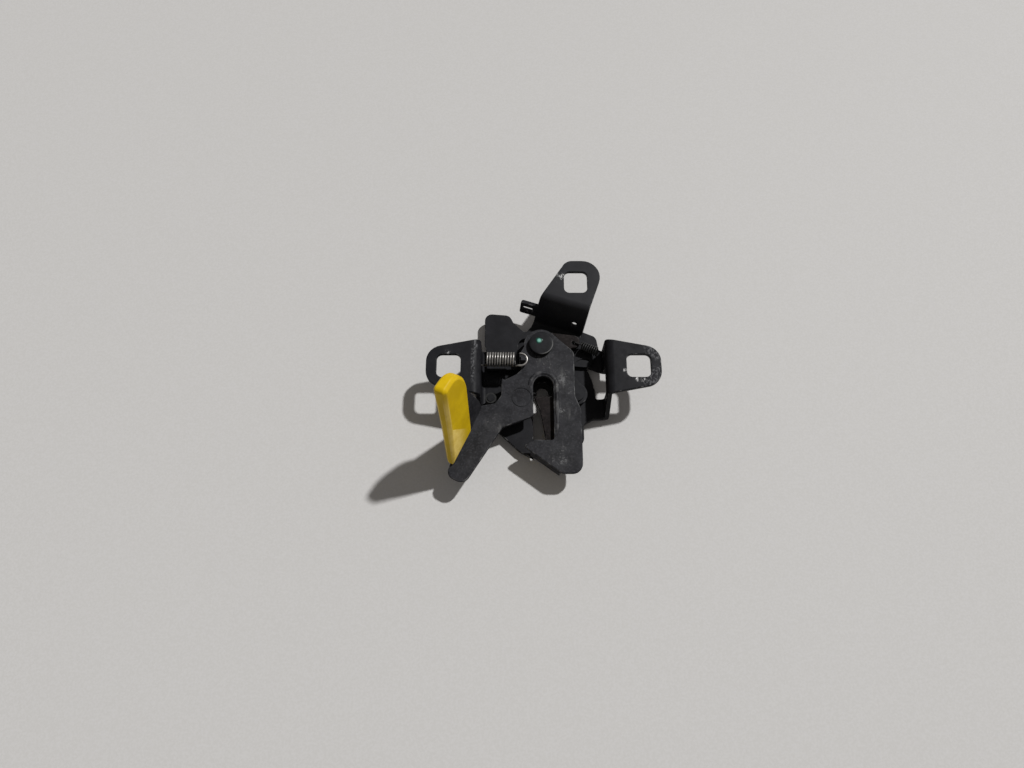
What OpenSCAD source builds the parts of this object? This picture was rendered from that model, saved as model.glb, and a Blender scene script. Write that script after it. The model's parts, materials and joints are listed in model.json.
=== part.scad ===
// Bonnet latch: a folded bracket with three fixing ears, a catch and a safety hook
// that share one pivot rivet, and a cable-pulled release lever that drives the catch.
// The origin lies on the striker slot's centreline, level with the two side holes,
// in the plane of the ears' seats. +Z points out of the front of the latch.

/* [Sheet metal] */
// Thickness of the bracket and of the safety lever
sheet_t = 2.5; // [2.2:0.1:2.8]
// Inside radius of the folds
fold_r = 2; // [1.5:0.1:3]
// Thickness of the release lever
release_t = 2.5; // [2:0.1:2.8]
// Thickness of the catch
catch_t = 2.8; // [2.4:0.1:3.2]

/* [Bracket] */
// Clear width between the two side flanges
channel_w = 68; // [67:0.5:74]
// Depth of the web's front face below the ears' seats
flange_h = 18; // [17.5:0.5:22]
// Length of a side ear beyond its flange
ear_len = 27; // [25:0.5:32]
// Width of a side ear at its flange
ear_root_w = 31; // [29:0.5:33]
// Width of a side ear at its end
ear_tip_w = 20.5; // [19.5:0.5:24]
// Corner radius of an ear's end
ear_tip_r = 9; // [5:0.5:9.5]
// Side of a square fixing hole
hole_w = 13; // [9:0.5:14]
// Corner radius of a fixing hole
hole_r = 3; // [1:0.25:4]
// Distance from a side flange to the middle of its fixing hole
hole_reach = 14.8; // [13:0.2:16]
// Width of the striker slot
slot_w = 11; // [10:0.25:11.5]
// Slope of the top flange against the web, in degrees
top_slope = 70; // [65:1:80]
// Turn of the top flange's fold away from the line of the side holes, in degrees
top_turn = -18; // [-22:1:-14]
// Length of the cable lug
lug_len = 10.5; // [8:0.5:13]
// Height of the cable lug
lug_h = 8; // [6:0.5:9]
// Length of the slot in the cable lug
lug_slot_len = 6.5; // [4:0.5:7]
// Width of the slot in the cable lug
lug_slot_w = 2.6; // [2:0.2:4]

/* [Pivots] */
// Place of the main rivet across the slot
main_x = -0.9; // [-2:0.1:1]
// Place of the main rivet along the slot
main_y = 16; // [15:0.25:17]
// Radius of the main rivet's shoulder
main_r = 5; // [4:0.1:5.5]
// Radius of the main rivet's head
main_head_r = 6.7; // [6:0.1:8]
// Place of the release lever's rivet across the slot
release_x = 18.5; // [17.5:0.25:19.5]
// Place of the release lever's rivet along the slot
release_y = -10; // [-11:0.25:-9]
// Radius of the release lever's rivet
release_r = 3.4; // [3:0.1:4]
// Height of the rivet tails behind the web
tail_h = 2.5; // [2:0.1:4]
// Running clearance round a pivot
run_gap = 0.05; // [0.02:0.01:0.1]
// Clearance between faces that slide over each other
face_gap = 0.2; // [0.1:0.05:0.3]
// Thickness of the pivot washers
washer_t = 0.6; // [0.4:0.1:1]

/* [Safety lever] */
// Width of the lever beside the slot
strip_w = 11.8; // [10.5:0.2:13]
// Length of the hook's nose below the slot's mouth
nose_h = 18.2; // [16:0.2:20]
// Drop of the folded lip under the nose
lip_h = 7.5; // [3:0.25:8]
// Lean of the finger tab away from the latch, in degrees
tab_lean = 11; // [6:1:16]
// Height of the finger tab along its own face
tab_h = 53; // [45:1:60]
// Thickness of the finger grip
grip_t = 6.5; // [6:0.25:8]
// Clearance between the grip and its tab
grip_gap = 0.1; // [0.05:0.05:0.2]

/* [Springs] */
// Wire of the safety spring
safety_wire = 1.2; // [0.9:0.1:1.4]
// Mean radius of the safety spring's coils
safety_coil_r = 3.5; // [3:0.1:3.8]
// Turns of the safety spring
safety_turns = 11; // [8:1:12]
// Wire of the catch spring
catch_wire = 1; // [0.8:0.1:1.1]
// Mean radius of the catch spring's coils
catch_coil_r = 2.3; // [2:0.1:2.4]
// Turns of the catch spring
catch_turns = 8; // [6:1:9]

/* [Release] */
// Distance from the main rivet to the release pin
pin_reach = 10; // [9.8:0.1:10.6]
// Radius of the release pin
pin_r = 2; // [1.6:0.1:2.2]
// Radius of the arm's stop sleeve
sleeve_r = 3; // [2.6:0.1:3.4]

/* [Hidden] */
$fn = 64;

// Side faces of the channel, and the ears' ends
inner_x = channel_w / 2;
outer_x = inner_x + sheet_t;
ear_x = outer_x + ear_len;
hole_x = outer_x + hole_reach;
slot_x = slot_w / 2;
eps = 0.01;

// Levels, from the web's back to the main rivet's head
web_z = -flange_h;
back_z = web_z - sheet_t;
tail_z = back_z - tail_h;
release_z = web_z + face_gap;
release_head_z = release_z + release_t + face_gap;
release_head_h = 1.5;
catch_z = release_head_z + release_head_h + face_gap;
catch_washer_z = catch_z + catch_t + face_gap / 2;
safety_z = catch_washer_z + washer_t + face_gap / 2;
head_washer_z = safety_z + sheet_t + face_gap / 2;
head_z = head_washer_z + washer_t + face_gap / 2;
head_h = 2.5;

// Level below the web where cuts start, and the height of a cut through the web
cut_low = back_z - 2 * sheet_t;
cut_h = web_z + sheet_t - cut_low;

// Pivots, and the pin between them that turns the catch
main_p = [main_x, main_y];
release_p = [release_x, release_y];
pivot_line = (release_p - main_p) / norm(release_p - main_p);
pin_p = main_p + pin_reach * pivot_line;
pivot_angle = atan2(pivot_line.y, pivot_line.x);
sleeve_outer_r = main_r + 1.2;
main_shank_r = main_r - 1;
main_tail_r = main_r + 1.2;
release_tail_r = release_r + 1.6;
fit_gap = 0.03;

// Slot, from its mouth to its round end
slot_end = [0, -8];
mouth_y = -38.8;
nose_y = mouth_y - nose_h;

// Foot of the top flange on the web, and its fixing hole
top_foot = [9.8, 30.3];
top_foot_w = 27.8;
top_hole = [18.6, 50.1];
ramp_run = (flange_h + sheet_t) / tan(top_slope);
ramp_w = sheet_t / sin(top_slope);

// Fold of the finger tab along the safety lever's arm
fold_p = [-49.7, -52];
fold_angle = 66;
tab_len = 35;
arm_top_a = [-26, -18];
arm_top_b = fold_p + tab_len * [cos(fold_angle), sin(fold_angle)];

// Rubber-sleeved stop that the arm rests against
stop_edge = arm_top_b - arm_top_a;
stop_normal = [stop_edge.y, -stop_edge.x] / norm(stop_edge);
stop_along = 0.2;
stop_p = arm_top_a + stop_along * stop_edge + stop_normal * (sleeve_r + face_gap / 2);
stop_r = sleeve_r - 1;

// Safety spring: its axis, its peg on the lever and its hole in the left flange
safety_spring_y = 6.2;
safety_spring_z = safety_z + sheet_t + 2.7;
peg_w = 2.4;
peg_h = 5;
peg_x = -10.9;
hook_inner_r = safety_coil_r - safety_wire / 2 - face_gap / 2;
hook_x = peg_x + peg_w / 2 - sqrt(pow(hook_inner_r, 2) - pow(peg_w / 2, 2));
coil_start_x = -inner_x + 3;
coil_end_x = hook_x - 3;
safety_leg_y = safety_spring_y - safety_coil_r;

// Catch spring: from a hole in the catch's tail to a hole in the right flange
tail_p = [17.5, 18.8];
tail_r = 3.6;
catch_anchor = [inner_x + sheet_t / 2, 12];
catch_spring_z = catch_z + catch_t / 2;

// Unit vector of a direction
function unit(v) = v / norm(v);
// A corner of an outline, replaced by an arc of its radius
function corner_arc(a, b, c, r, n) =
    let (u = unit(a - b), w = unit(c - b), half = acos(u * w) / 2,
        mid = b + unit(u + w) * r / sin(half),
        start = b + u * r / tan(half) - mid, end = b + w * r / tan(half) - mid,
        a0 = atan2(start.y, start.x), turn = atan2(end.y, end.x) - a0,
        sweep = turn > 180 ? turn - 360 : turn < -180 ? turn + 360 : turn)
    [for (i = [0:n]) mid + r * [cos(a0 + sweep * i / n), sin(a0 + sweep * i / n)]];
// An outline from its corners, each given as [x, y, radius]
function rounded(corners, n = 6) = let (m = len(corners))
    [for (i = [0:m - 1]) let (a = corners[(i + m - 1) % m], b = corners[i], c = corners[(i + 1) % m])
        each b[2] > 0 ? corner_arc([a.x, a.y], [b.x, b.y], [c.x, c.y], b[2], n) : [[b.x, b.y]]];
// Points of an arc round a centre
function arc(c, r, a0, a1, n) =
    [for (i = [0:n]) let (a = a0 + (a1 - a0) * i / n) c + r * [cos(a), sin(a)]];
// Rounded rectangle about a middle point
function rounded_box(c, w, h, r) =
    rounded([for (s = [[1, 1], [-1, 1], [-1, -1], [1, -1]]) [c.x + s.x * w / 2, c.y + s.y * h / 2, r]]);
// Slot with one round end, open towards -Y
function open_slot(half_w, end, mouth) =
    concat([[half_w, mouth]], arc(end, half_w, 0, 180, 16), [[-half_w, mouth]]);

// Directions across a wire at each point of its path, carried along without twist
function wire_normals(path, tangents) =
    [for (i = 0, n = unit(cross(tangents[0], [0.31, 0.52, 0.79])); i < len(path);
        i = i + 1, n = i < len(path) ? unit(n - (n * tangents[i]) * tangents[i]) : n) n];
// Wire of an eight-sided section swept along a path
module wire(path, r) {
    sides = 8;
    last = len(path) - 1;
    tangents = [for (i = [0:last]) unit(path[min(i + 1, last)] - path[max(i - 1, 0)])];
    normals = wire_normals(path, tangents);
    points = [for (i = [0:last], j = [0:sides - 1]) let (a = 360 * j / sides)
        path[i] + r * (cos(a) * normals[i] + sin(a) * cross(tangents[i], normals[i]))];
    walls = [for (i = [0:last - 1], j = [0:sides - 1]) let (k = (j + 1) % sides)
        [i * sides + j, (i + 1) * sides + j, (i + 1) * sides + k, i * sides + k]];
    ends = [[for (j = [0:sides - 1]) j], [for (j = [sides - 1:-1:0]) last * sides + j]];
    polyhedron(points, concat(walls, ends));
}
// Flat plate of an outline
module plate(outline, z, t) translate([0, 0, z]) linear_extrude(t) polygon(outline);
// Round bar or hole at a point of the plan
module bar(p, r, z0, z1) translate([p.x, p.y, z0]) cylinder(r = r, h = z1 - z0);

// Section of the channel with its side flanges and ears
channel_section = rounded([
    [ear_x, 0, 0], [ear_x, sheet_t, 0], [inner_x, sheet_t, fold_r + sheet_t], [inner_x, web_z, fold_r],
    [-inner_x, web_z, fold_r], [-inner_x, sheet_t, fold_r + sheet_t], [-ear_x, sheet_t, 0], [-ear_x, 0, 0],
    [-outer_x, 0, fold_r], [-outer_x, back_z, fold_r + sheet_t],
    [outer_x, back_z, fold_r + sheet_t], [outer_x, 0, fold_r]]);
// Front ends of the left flange and of the right foot on the web
left_front = -20;
foot_front = -24;
foot_x = outer_x - 8.5;
// Outline of the web, prongs included
web_outline = rounded([
    [-outer_x, left_front, 0], [-slot_x - 19, -31.5, 3], [-slot_x - 7.5, -42.5, 3], [-slot_x, -46.5, 0],
    [slot_x, -47.5, 0], [slot_x + 8.5, -48, 3], [slot_x + 17, -36, 4], [slot_x + 17, -27, 2],
    [foot_x, foot_front, 2], [outer_x, foot_front, 0], [outer_x, ear_root_w / 2, 0],
    [inner_x - 1.5, ear_root_w / 2 + 1.5, 2], [inner_x - 3, 25.5, 5], [top_foot.x + 13.7, 28.5, 2],
    [top_foot.x, 32, 0], [-4, 34.5, 2],
    [-10, 27, 4], [-20, 18.5, 4], [-outer_x, ear_root_w / 2, 0]]);
// Outline of a side ear, drawn on the right
ear_outline = rounded([
    [inner_x, -ear_root_w / 2, 0], [outer_x, -ear_root_w / 2, 0], [ear_x, -ear_tip_w / 2, ear_tip_r],
    [ear_x, ear_tip_w / 2, ear_tip_r], [outer_x, ear_root_w / 2, 0], [inner_x, ear_root_w / 2, 0]], 10);
// Window beside the release lever, open through the right flange's fold
window_x = outer_x + fold_r;
window_top = -flange_h / 3;
window_low = -12.3;
window_tip = [release_p.x + 2, 8.6];
window_outline = rounded([
    [window_x, window_low, 0], [window_x, 1.6, 0], [window_tip.x, window_tip.y, 0.8],
    [release_p.x + 7, 5, 5], [release_p.x + 9.2, -0.4, 8], [release_p.x + 11, -7.5, 3],
    [release_p.x + 11, window_low, 1.2]]);
// Outline of the top ear with its flange
top_outline = rounded([
    [-7, 30, 0], [20.5, 20.5, 0], [25.8, 33.2, 0], [36.5, 63.6, 10], [13.6, 63.6, 6], [-1.9, 40.4, 0]], 10);
// Section of the top flange, along the line that leads away from the web
top_section = rounded([
    [-6, back_z, 0], [ramp_w - sheet_t / tan(top_slope), back_z, fold_r + sheet_t],
    [ramp_w + flange_h / tan(top_slope), 0, fold_r], [45, 0, 0], [45, sheet_t, 0],
    [ramp_run, sheet_t, fold_r + sheet_t], [0, web_z, fold_r], [-6, web_z, 0]]);

// Frame whose X runs along the top flange's foot and whose Y leads away from the web
module at_top_foot() translate([top_foot.x, top_foot.y, 0]) rotate(top_turn) children();

module side_sheet() {
    reach_y = 100;
    difference() {
        intersection() {
            rotate([90, 0, 0]) linear_extrude(2 * reach_y, center = true) polygon(channel_section);
            union() {
                plate(web_outline, back_z - 1, flange_h + 2 * sheet_t + 2);
                for (side = [0, 1]) mirror([side, 0, 0]) plate(ear_outline, -1, sheet_t + 2);
            }
        }
        for (side = [[-1, left_front], [1, foot_front]])
            rotate([90, 0, 90]) translate([0, 0, side[0] * inner_x - fold_r - sheet_t - 0.5])
                linear_extrude(2 * (fold_r + sheet_t + 0.5))
                    polygon([[-ear_root_w / 2, sheet_t + 2], [-ear_root_w / 2, 0], [side[1], web_z],
                        [-reach_y, web_z], [-reach_y, sheet_t + 2]]);
    }
}

module top_sheet() {
    intersection() {
        at_top_foot() rotate([90, 0, 90]) linear_extrude(2 * top_foot_w, center = true) polygon(top_section);
        plate(top_outline, back_z - 1, flange_h + 2 * sheet_t + 2);
    }
}

// Lug for the cable's sleeve, in the plane of the top flange
module cable_lug() {
    lug_low = 4.5;
    lug_root = 4;
    lug_slot_r = lug_slot_w / 2 - eps;
    at_top_foot() translate([-top_foot_w / 2, 0, web_z]) rotate([top_slope, 0, 0])
        translate([0, lug_low, -sheet_t]) linear_extrude(sheet_t) difference() {
            polygon(rounded([[-lug_len, 0, 1], [lug_root, 0, 0], [lug_root, lug_h, 0],
                [-lug_len, lug_h, 1]]));
            polygon(rounded_box([-lug_len / 2 - 0.8, lug_h / 2], lug_slot_len, lug_slot_w, lug_slot_r));
        }
}

// Folded bracket
module bracket() color([0.06, 0.06, 0.07]) {
    locating_r = 1.6;
    difference() {
        union() {
            side_sheet();
            top_sheet();
            cable_lug();
        }
        for (x = [-hole_x, hole_x]) plate(rounded_box([x, 0], hole_w, hole_w, hole_r), -1, sheet_t + 2);
        plate(rounded_box(top_hole, hole_w, hole_w, hole_r), -1, sheet_t + 2);
        plate(open_slot(slot_x, slot_end, nose_y - sheet_t), cut_low, cut_h);
        plate(window_outline, cut_low, window_top - cut_low);
        bar(main_p, main_shank_r + fit_gap, cut_low, web_z + 1);
        bar(release_p, release_r - 0.8 + fit_gap, cut_low, web_z + 1);
        bar(stop_p, stop_r - 0.6 + fit_gap, cut_low, web_z + 1);
        translate([-inner_x, safety_leg_y, safety_spring_z])
            rotate([0, 90, 0]) cylinder(r = safety_wire / 2 + 0.4, h = 12, center = true);
        translate([catch_anchor.x, catch_anchor.y, catch_spring_z])
            rotate([0, 90, 0]) cylinder(r = catch_wire / 2 + 1, h = 12, center = true);
        at_top_foot() translate([8, 0, web_z]) rotate([top_slope, 0, 0]) translate([0, 7, 0])
            cylinder(r = locating_r, h = 3 * sheet_t, center = true);
    }
}

// Rubber insert in the slot's round end
module slot_buffer() color([0.04, 0.04, 0.045]) {
    wall = 2.2;
    lip_w = 1.8;
    lip_t = 1.2;
    low_y = slot_end.y - 1;
    difference() {
        union() {
            plate(open_slot(slot_x - fit_gap, slot_end, low_y), back_z, sheet_t);
            plate(open_slot(slot_x + lip_w, slot_end, low_y), back_z - lip_t, lip_t);
        }
        plate(open_slot(slot_x - wall, slot_end, low_y - 1), back_z - lip_t - 1, sheet_t + lip_t + 2);
    }
}

// Stepped rivet that carries the catch and the safety lever
module main_rivet() color([0.16, 0.16, 0.17]) {
    bevel = 0.6;
    bar(main_p, main_tail_r, tail_z, back_z);
    bar(main_p, main_shank_r, back_z - eps, catch_z);
    bar(main_p, main_r, catch_z - face_gap, head_z);
    translate([main_p.x, main_p.y, head_z - eps]) rotate_extrude() polygon([[0, 0], [main_head_r, 0],
        [main_head_r, head_h - bevel], [main_head_r - bevel, head_h], [0, head_h]]);
}

// Spacer sleeve between the web and the catch
module pivot_sleeve() color([0.3, 0.3, 0.31]) difference() {
    bar(main_p, sleeve_outer_r, web_z, catch_z - face_gap);
    bar(main_p, main_shank_r + run_gap, web_z - 1, catch_z);
}

module pivot_washer(z) difference() {
    bar(main_p, main_head_r - 0.3, z, z + washer_t);
    bar(main_p, main_r + run_gap, z - 1, z + washer_t + 1);
}
module catch_washer() color([0.75, 0.72, 0.62]) pivot_washer(catch_washer_z);
module head_washer() color([0.25, 0.25, 0.26]) pivot_washer(head_washer_z);

// Hook that holds the striker in the slot's end
module catch() color([0.1, 0.09, 0.085]) {
    eye_r = main_r + 4.5;
    hold_y = slot_end.y - 5.4;
    neck_x = slot_x + 0.2;
    body_x = neck_x + 8.8;
    end_y = mouth_y - 1.2;
    slot_half = pin_r + 0.35;
    along = unit(tail_p - main_p);
    across = [-along.y, along.x];
    tail_low = tail_p + tail_r * (along - across);
    tail_high = tail_p + tail_r * (along + across);
    outline = rounded([
        [1.6, end_y, 1], [body_x - 5, end_y, 3.5], [body_x, end_y + 12, 8], [body_x, main_y - 0.4, 3],
        [tail_low.x, tail_low.y, tail_r - 0.1], [tail_high.x, tail_high.y, tail_r - 0.1],
        [main_x + 2, main_y + eye_r, 4], [main_x - eye_r, main_y + eye_r, eye_r - 0.5],
        [main_x - eye_r, main_y - 6, 5], [neck_x, -3, 3], [neck_x, hold_y, 0.8],
        [0.7 - slot_x, hold_y - 0.2, 0.8], [-1.7, -21, 14]]);
    difference() {
        plate(outline, catch_z, catch_t);
        bar(main_p, main_r + run_gap, catch_z - 1, catch_z + catch_t + 1);
        bar(tail_p, catch_wire / 2 + 0.5, catch_z - 1, catch_z + catch_t + 1);
        translate([main_x, main_y, catch_z - 1]) rotate(pivot_angle) linear_extrude(catch_t + 2)
            polygon(concat(arc([pin_reach - 0.5, 0], slot_half, 90, 270, 12),
                arc([pin_reach + 1.5, 0], slot_half, -90, 90, 12)));
    }
}

// Point at a distance along the catch spring, off its axis by a sideways and an upward amount
function at(s, side, up) = let (along = unit(catch_anchor - tail_p), p = tail_p + along * s)
    [p.x - along.y * side, p.y + along.x * side, catch_spring_z + up];

// Pull spring of the catch
module catch_spring() color([0.08, 0.08, 0.085]) {
    span = norm(catch_anchor - tail_p);
    coil_a = 4.6;
    coil_b = span - 4.4;
    hook = catch_coil_r;
    drop = 2.6;
    per_turn = 10;
    steps = catch_turns * per_turn;
    path = concat(
        [at(0, 0, -hook), at(0, 0, hook - 0.7), at(0.3, 0, hook - 0.2), at(0.9, 0, hook)],
        [for (i = [0:steps]) at(coil_a + (coil_b - coil_a) * i / steps,
            catch_coil_r * sin(360 * i / per_turn), catch_coil_r * cos(360 * i / per_turn))],
        [at(coil_b + 1.4, 0, hook * 0.7), at(coil_b + 2.4, 0, hook * 0.2), at(span - 1, 0, 0),
            at(span + sheet_t + 0.3, 0, 0), at(span + sheet_t + 0.8, 0, -0.5),
            at(span + sheet_t + 0.8, 0, -drop)]);
    wire(path, catch_wire / 2);
}

// Outline of the safety lever's flat sheet
strip_x = slot_x + strip_w;
tip_x = -slot_x - 5.6;
hook_outline = rounded(concat(
    [[-slot_x, -25.5, 1.5]],
    [for (p = arc(slot_end, slot_x, 180, 0, 16)) [p.x, p.y, 0]],
    [[slot_x, mouth_y, 1.5], [-slot_x, mouth_y + 0.2, 2], [tip_x, mouth_y - 3.3, 1.2],
        [strip_x - 8, nose_y, 6], [strip_x + 3.2, nose_y, 5.5], [strip_x + 3.2, -22, 6],
        [strip_x, -14, 8], [strip_x, 12, 4],
        [main_x + 5.5, main_y + 7.8, 0], [main_x - 7, main_y + 6, 0], [main_x - 9.4, main_y - 1, 0],
        [peg_x - 2.2, 10.5, 1.5], [peg_x - 2.2, 5, 1.5], [-10.4, 2.6, 3], [-14.5, -1.2, 6],
        [-21, -4.6, 0.8], [-22.8, -3.6, 0.6], [-22.9, -13.6, 3],
        [arm_top_a.x, arm_top_a.y, 3], [arm_top_b.x, arm_top_b.y, 0],
        [fold_p.x, fold_p.y, 0], [fold_p.x - 2, fold_p.y - 6, 4], [fold_p.x + 7.5, fold_p.y - 11, 5],
        [-22.2, -31.9, 2]]));

// Frame of the finger tab: X along its fold, Y up its face, Z towards the latch
module at_tab() translate([fold_p.x, fold_p.y, safety_z]) rotate(fold_angle)
    rotate([90 - tab_lean, 0, 0]) children();
// Outline of the tab, or of the same shape grown by a margin above its fold
function tab_outline(margin = 0) = rounded([
    [0.5 - margin, 0, 0], [tab_len + margin, 0, 0], [tab_len + 1 + margin, 9, 4],
    [tab_len - 4 + margin, tab_h - 9 + margin, 4], [20, tab_h + margin, 4],
    [17 - margin, tab_h - 3 + margin, 1.5]]);

// Pressed lines in the lever's front face
module pressed_lines() {
    depth = 0.3;
    bead_gap = 2.3;
    bead_w = 0.6;
    dimple_p = [-12, -15];
    dimple_r = 5.6;
    top = safety_z + sheet_t;
    translate([0, 0, top - depth]) {
        linear_extrude(1) difference() {
            polygon(open_slot(slot_x + bead_gap + bead_w, slot_end, -33));
            polygon(open_slot(slot_x + bead_gap, slot_end, -34));
            translate([-20, -50]) square([20 - slot_x + 1, 42]);
        }
        translate([dimple_p.x, dimple_p.y, 0]) difference() {
            cylinder(r = dimple_r, h = 1);
            translate([0, 0, -1]) cylinder(r = dimple_r - bead_w, h = 3);
        }
    }
}

// Safety lever: hook, arm and finger tab of one folded sheet
module safety_lever() color([0.2, 0.2, 0.21]) {
    eye_r = main_r + 4.5;
    lip_a = [tip_x + 4, mouth_y - 6.2];
    lip_b = [strip_x - 9, nose_y + 0.8];
    lip_dir = unit(lip_b - lip_a);
    lip_in = [-lip_dir.y, lip_dir.x];
    difference() {
        union() {
            plate(hook_outline, safety_z, sheet_t);
            bar(main_p, eye_r, safety_z, safety_z + sheet_t);
            at_tab() linear_extrude(sheet_t) polygon(tab_outline());
            plate([lip_a, lip_b, lip_b + sheet_t * lip_in, lip_a + sheet_t * lip_in],
                safety_z - lip_h, lip_h + eps);
            translate([peg_x - peg_w / 2, safety_spring_y - peg_w / 2, safety_z])
                cube([peg_w, peg_w, sheet_t + peg_h]);
        }
        bar(main_p, main_r + run_gap, safety_z - 1, safety_z + sheet_t + 1);
        pressed_lines();
    }
}

// Outline of the grip at a distance inside its widest section
grip_skin = 3;
grip_low = 3.2;
function grip_outline(d) = rounded([
    [d, grip_low + d * 0.6, 1], [18 - d, grip_low + 1 + d * 0.6, 2],
    [tab_len + grip_skin - 4 - d, tab_h - 10, 5], [tab_len + grip_skin - 9 - d, tab_h + grip_skin - d, 5],
    [18.5 + d, tab_h + grip_skin + 3 - 1.4 * d, 2.5]]);

// Plastic finger grip pushed over the tab
module safety_grip() color([0.95, 0.75, 0.05]) {
    inset = 1.6;
    core_t = grip_t - 2 * inset;
    difference() {
        at_tab() translate([0, 0, sheet_t / 2]) hull() {
            translate([0, 0, -core_t / 2]) linear_extrude(core_t) polygon(grip_outline(0));
            translate([0, 0, -grip_t / 2]) linear_extrude(grip_t) polygon(grip_outline(inset));
        }
        at_tab() translate([0, 0, -grip_gap]) linear_extrude(sheet_t + 2 * grip_gap)
            polygon(tab_outline(grip_gap));
    }
}

// Return spring of the safety lever
module safety_spring() color([0.6, 0.58, 0.55]) {
    per_turn = 12;
    steps = safety_turns * per_turn;
    drop = 3.2;
    out_x = -outer_x - safety_wire / 2 - 0.4;
    leg_r = 0.8;
    path = concat(
        [[out_x, safety_leg_y, safety_spring_z - drop], [out_x, safety_leg_y, safety_spring_z - leg_r],
            [out_x + 0.3 * leg_r, safety_leg_y, safety_spring_z - 0.3 * leg_r],
            [out_x + leg_r, safety_leg_y, safety_spring_z]],
        [for (i = [0:steps]) [coil_start_x + (coil_end_x - coil_start_x) * i / steps,
            safety_spring_y - safety_coil_r * cos(360 * i / per_turn),
            safety_spring_z + safety_coil_r * sin(360 * i / per_turn)]],
        [for (p = arc([hook_x, safety_spring_y], safety_coil_r, -90, 100, 16)) [p.x, p.y, safety_spring_z]]);
    wire(path, safety_wire / 2);
}

// Release lever: cable horn, arm behind the main rivet, tail and pivot eye
module release_lever() color([0.11, 0.105, 0.105]) {
    eye_r = release_r + 3.1;
    horn_x = main_x - 12.6;
    horn_left = main_x - 31.7;
    horn_top = main_y + 23;
    arm_low = main_y + sleeve_outer_r + 1;
    arm_high = main_y + 11.2;
    tail_x = inner_x - 5.4;
    low_left = -inner_x + fold_r + 0.6;
    outline = rounded([
        [low_left, 4, 1.5], [horn_x, 4, 2], [horn_x, arm_low, 4], [main_x + 5, arm_low, 4],
        [main_x + 9.2, main_y - 2, 4], [pin_p.x - 4.6, pin_p.y + 2.6, 2], [pin_p.x - 3.8, pin_p.y - 4, 3],
        [release_x - 6, release_y - 2.6, 0], [release_x + 3.5, release_y + 5.4, 0],
        [strip_x, 2, 3], [strip_x, 6.4, 1], [tail_x, 5.4, 4.6], [tail_x, 15.6, 4.6],
        [strip_x + 1.5, 17.6, 4], [12.5, main_y + 8.5, 5], [2, arm_high, 5], [horn_x + 3, arm_high + 0.5, 4],
        [horn_x - 2.6, horn_top - 6, 3], [horn_x - 5, horn_top - 1.2, 4], [horn_left, horn_top, 4],
        [horn_left, main_y + 4, 2], [low_left, main_y - 1, 2]]);
    groove_w = 0.7;
    groove_r = 6.2;
    difference() {
        union() {
            plate(outline, release_z, release_t);
            bar(release_p, eye_r, release_z, release_z + release_t);
        }
        bar(release_p, release_r + run_gap, release_z - 1, release_z + release_t + 1);
        bar(main_p, sleeve_outer_r + 0.8, release_z - 1, release_z + release_t + 1);
        bar(pin_p, pin_r + fit_gap, release_z - 1, release_z + release_t + 1);
        translate([tail_x - 5.2, 4.6, release_z + release_t - 0.5]) difference() {
            cylinder(r = groove_r, h = 1);
            translate([0, 0, -1]) cylinder(r = groove_r - groove_w, h = 3);
        }
    }
}

// Rivet of the release lever
module release_rivet() color([0.2, 0.2, 0.21]) {
    bar(release_p, release_tail_r, tail_z, back_z);
    bar(release_p, release_r - 0.8, back_z - eps, web_z + eps);
    bar(release_p, release_r, web_z, release_head_z);
    bar(release_p, release_r + 1.2, release_head_z - eps, release_head_z + release_head_h);
}

// Pin on the release lever that works in the catch's slot
module release_pin() color([0.3, 0.3, 0.3]) bar(pin_p, pin_r, release_z, catch_z + catch_t);

// Stop for the safety lever's arm, and its rubber sleeve
module stop_pin() color([0.2, 0.2, 0.21]) {
    top = safety_z + sheet_t;
    bar(stop_p, stop_r + 2.2, tail_z, back_z);
    bar(stop_p, stop_r - 0.6, back_z - eps, web_z + eps);
    bar(stop_p, stop_r, web_z, top + 1);
}
module stop_sleeve() color([0.05, 0.05, 0.05]) difference() {
    bar(stop_p, sleeve_r, web_z, safety_z + sheet_t + 0.6);
    bar(stop_p, stop_r + fit_gap, web_z - 1, safety_z + sheet_t + 2);
}

bracket();
slot_buffer();
main_rivet();
pivot_sleeve();
catch();
catch_washer();
catch_spring();
safety_lever();
head_washer();
safety_grip();
safety_spring();
release_lever();
release_rivet();
release_pin();
stop_pin();
stop_sleeve();
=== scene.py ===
# %% [markdown]
# # A worn bonnet latch
# A bonnet latch is a folded steel bracket that carries a catch, a safety hook and their springs.
# The solids come from the CAD frame at their true place. This lesson gives them rounded sheet edges,
# wound springs, a moulded grip and the finishes of a part that has spent years behind a grille.

# %% Load the frame
import json
import math

import bmesh
import bpy
from mathutils import Matrix, Vector

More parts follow.
